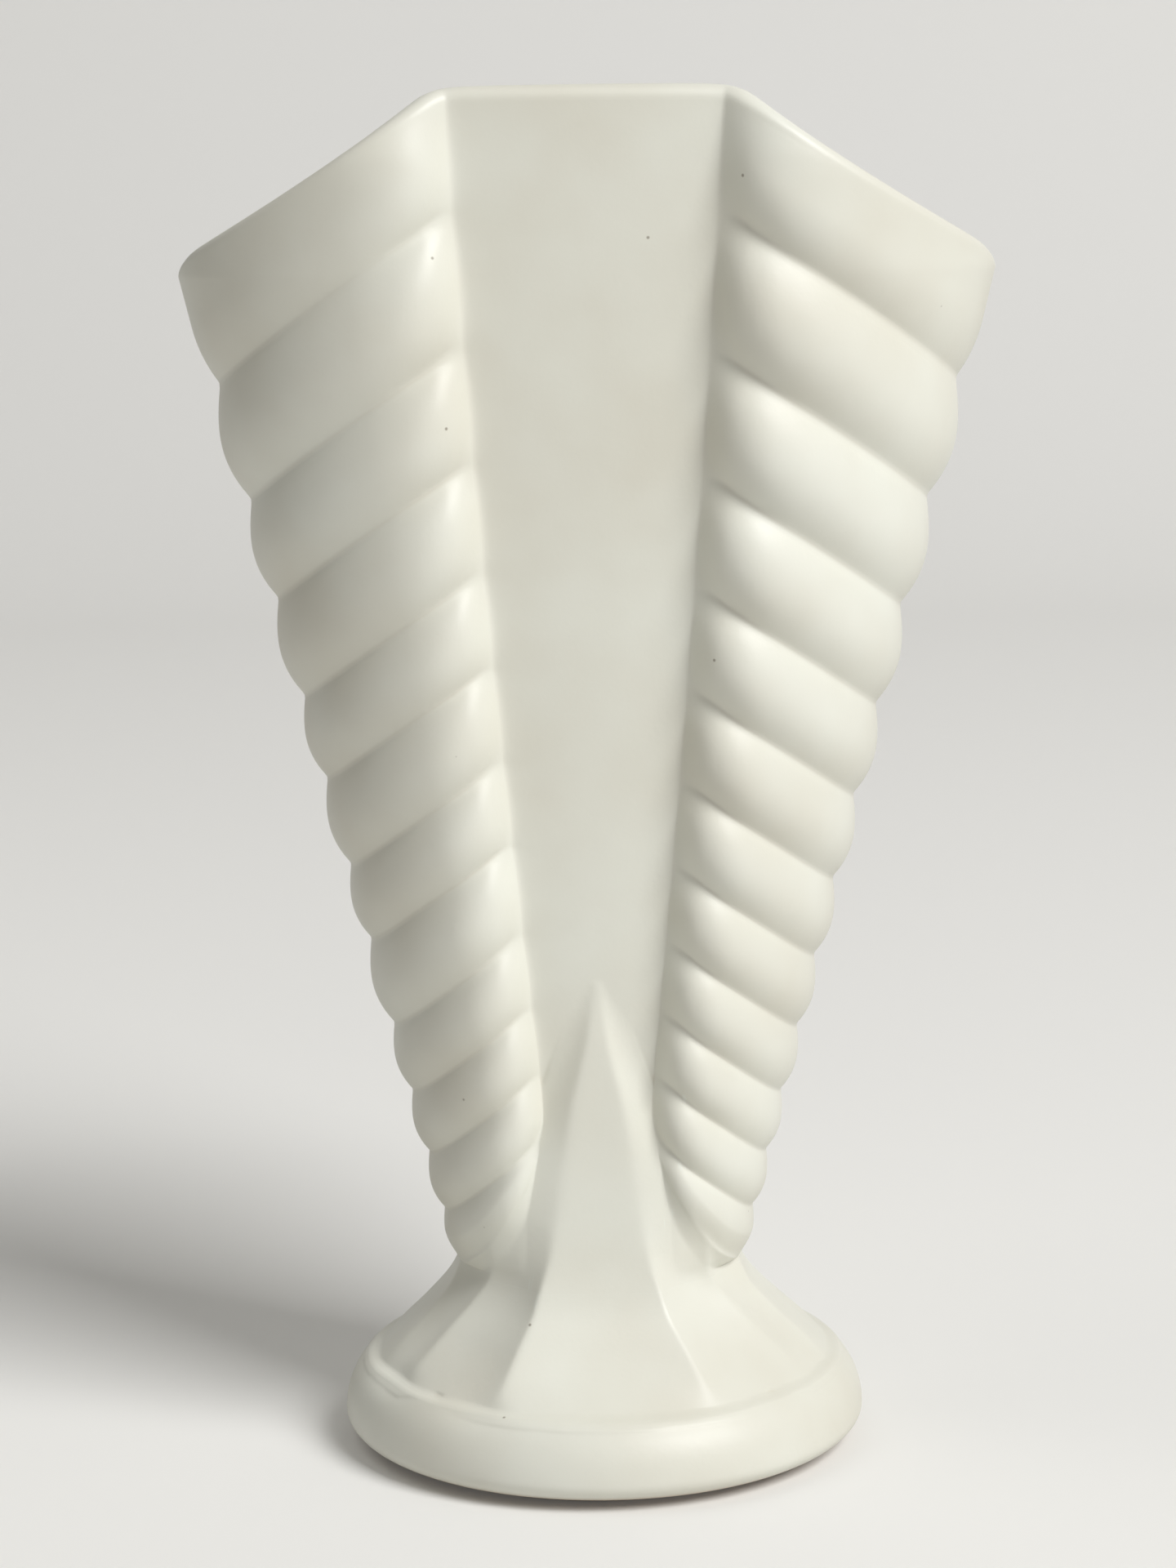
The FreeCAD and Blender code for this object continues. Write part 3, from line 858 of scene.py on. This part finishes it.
paper = empty_material("pale_backdrop_paper")
tree = paper.node_tree
seen = add_node(tree, "ShaderNodeLightPath")
matt = add_node(tree, "ShaderNodeBsdfDiffuse", values={"Color": linear(paper_pale)})
glow = add_node(tree, "ShaderNodeEmission", values={"Color": linear(paper_lift)})
lifted = add_node(tree, "ShaderNodeAddShader", links={0: matt.outputs[0], 1: glow.outputs[0]})
shown = add_node(tree, "ShaderNodeMixShader",
                 links={0: seen.outputs["Is Camera Ray"], 1: matt.outputs[0], 2: lifted.outputs[0]})
add_node(tree, "ShaderNodeOutputMaterial", links={"Surface": shown.outputs[0]})
sweep.data.materials.append(paper)

# Light: one large soft box like a window, high at the right-hand front, and a weak fill from the
# upper left. The air lights the shadows only faintly, and the camera sees it as a pale wall.
aim_height = 120.0
air_white = "FFFFFF"
air_light = 0.1
air_seen = 0.78


def soft_box(name, azimuth, elevation, distance, size, watts, tint):
    """A square soft lamp that looks at the middle of the vase."""
    lamp = bpy.data.lights.new(name, "AREA")
    lamp.shape = "SQUARE"
    lamp.size = size / MM_PER_METRE
    lamp.energy = watts
    lamp.color = linear(tint)[:3]
    turn = math.radians(azimuth)
    lift = math.radians(elevation)
    back = Vector((math.sin(turn) * math.cos(lift), -math.cos(turn) * math.cos(lift), math.sin(lift)))
    place = (back * distance + Vector((0.0, 0.0, aim_height))) / MM_PER_METRE
    aim = (-back).to_track_quat("-Z", "Y").to_matrix().to_4x4()
    in_scene(name, lamp).matrix_world = Matrix.Translation(place) @ aim


soft_box("window_key", azimuth=47.0, elevation=42.0, distance=4000.0, size=1900.0, watts=156.0,
         tint="FFFFFF")
soft_box("upper_left_fill", azimuth=-80.0, elevation=60.0, distance=2500.0, size=1600.0, watts=9.0,
         tint="F6F4EE")

world = bpy.data.worlds.new("studio_air")
world.use_nodes = True
tree = world.node_tree
tree.nodes.clear()
seen = add_node(tree, "ShaderNodeLightPath")
lighting = add_node(tree, "ShaderNodeBackground",
                    values={"Color": linear(air_white), "Strength": air_light})
backdrop = add_node(tree, "ShaderNodeBackground",
                    values={"Color": linear(air_white), "Strength": air_seen})
shown = add_node(tree, "ShaderNodeMixShader",
                 links={0: seen.outputs["Is Camera Ray"], 1: lighting.outputs[0], 2: backdrop.outputs[0]})
add_node(tree, "ShaderNodeOutputWorld", links={"Surface": shown.outputs[0]})
bpy.context.scene.world = world

# Camera: an 80 mm lens on a 36 mm frame, about 0.64 m in front of the vase and a little above the
# rim's tips. It looks 9 degrees down and is tilted by under a degree, as the photograph was taken.
lens = 80.06
sensor_width = 36.0
camera_place = (-1.3, -639.0, 225.0)
camera_pitch = 9.0
camera_roll = 0.75
camera_data = bpy.data.cameras.new("camera")
camera_data.lens = lens
camera_data.sensor_width = sensor_width
camera = in_scene("camera", camera_data)
camera.matrix_world = (Matrix.Translation([way / MM_PER_METRE for way in camera_place])
                       @ Matrix.Rotation(math.radians(90.0 - camera_pitch), 4, "X")
                       @ Matrix.Rotation(math.radians(-camera_roll), 4, "Z"))
bpy.context.scene.camera = camera
bpy.context.scene.view_settings.view_transform = "Standard"
